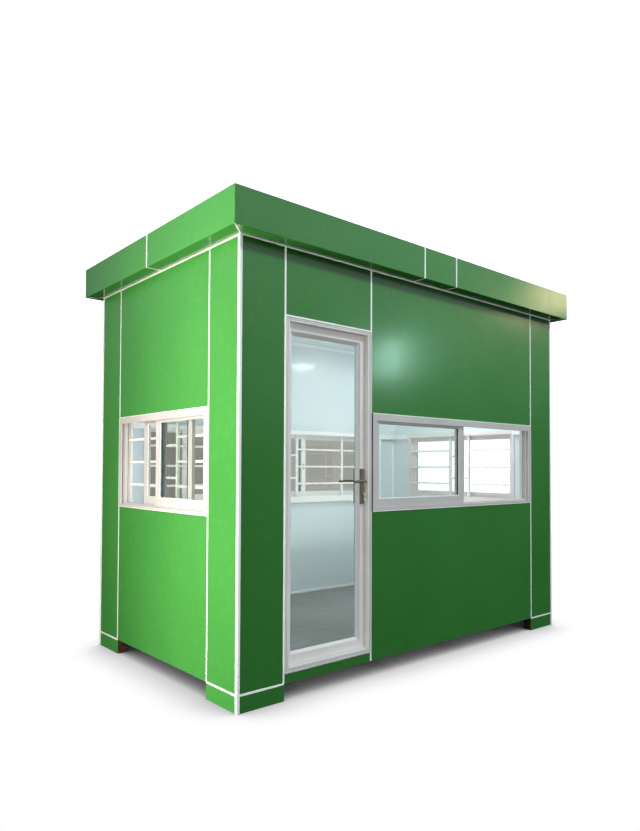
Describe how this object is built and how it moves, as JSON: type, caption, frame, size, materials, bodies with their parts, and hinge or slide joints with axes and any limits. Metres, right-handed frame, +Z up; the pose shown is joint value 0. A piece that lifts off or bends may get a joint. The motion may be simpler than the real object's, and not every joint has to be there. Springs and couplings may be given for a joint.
{
  "type": "security guard booth",
  "caption": "Guard booth with green panelled walls on corner feet, a flat roof with box fascia, sliding windows on every side and a glazed door that opens inward.",
  "frame": {"origin": "on the ground under the middle of the booth", "axes": "+Z up, -Y out of the front wall with the door, +X to the right seen from the front"},
  "size_m": [3.19, 1.922, 2.65],
  "materials": {
    "green_panel": "satin",
    "white_aluminium": "satin",
    "white_steel": "satin",
    "lining_board": "satin",
    "floor_vinyl": "matte",
    "primed_steel": "matte",
    "roof_sheet": "satin",
    "clear_glass": "clear",
    "dark_seal": "matte",
    "hinge_steel": "satin",
    "bronze_metal": "dark antique"
  },
  "bodies": {
    "root": {"foot_cores": "primed_steel", "floor_beams": "primed_steel", "foot_skirts": "green_panel", "floor_deck": "floor_vinyl", "corner_post_front_left": "green_panel", "corner_post_front_right": "green_panel", "corner_post_back_left": "green_panel", "corner_post_back_right": "green_panel", "front_panel_over_door": "green_panel", "front_panel_under_door": "green_panel", "front_panel_over_window": "green_panel", "front_panel_under_window": "green_panel", "fascia_front": "green_panel", "front_lining": "lining_board", "front_window_frame": "white_aluminium", "front_window_sashes": "white_aluminium", "front_window_panes": "clear_glass", "left_panel_over_window": "green_panel", "left_panel_under_window": "green_panel", "fascia_left": "green_panel", "left_lining": "lining_board", "left_window_frame": "white_aluminium", "left_window_sashes": "white_aluminium", "left_window_panes": "clear_glass", "right_panel_over_window": "green_panel", "right_panel_under_window": "green_panel", "fascia_right": "green_panel", "right_lining": "lining_board", "right_window_frame": "white_aluminium", "right_window_sashes": "white_aluminium", "right_window_panes": "clear_glass", "back_panel_over_window": "green_panel", "back_panel_under_window": "green_panel", "fascia_back": "green_panel", "back_lining": "lining_board", "back_window_frame": "white_aluminium", "back_window_sashes": "white_aluminium", "back_window_panes": "clear_glass", "door_window_mullion": "dark_seal", "ceiling_board": "lining_board", "roof_slab": "roof_sheet", "left_grille": "white_steel", "right_grille": "white_steel", "back_grille": "white_steel", "door_frame": "white_aluminium", "hinge_fixed_leaves": "hinge_steel"},
    "door_leaf": {"door_leaf_frame": "white_aluminium", "door_glass": "clear_glass", "hinge_turning_leaves": "hinge_steel", "lock_plates": "bronze_metal"},
    "lever": {"lever_set": "bronze_metal"}
  },
  "joints": [
    {"name": "door", "type": "hinge", "parent": "root", "child": "door_leaf", "pos_m": [-1.1855, -0.779, 1.108], "axis": [0, 0, 1], "range_deg": [0, 95]},
    {"name": "lever", "type": "hinge", "parent": "door_leaf", "child": "lever", "pos_m": [-0.5975, -0.812, 1.167], "axis": [0, -1, 0], "range_deg": [0, 40], "stiffness_Nm_per_rad": 1, "springref_deg": -20.05}
  ]
}
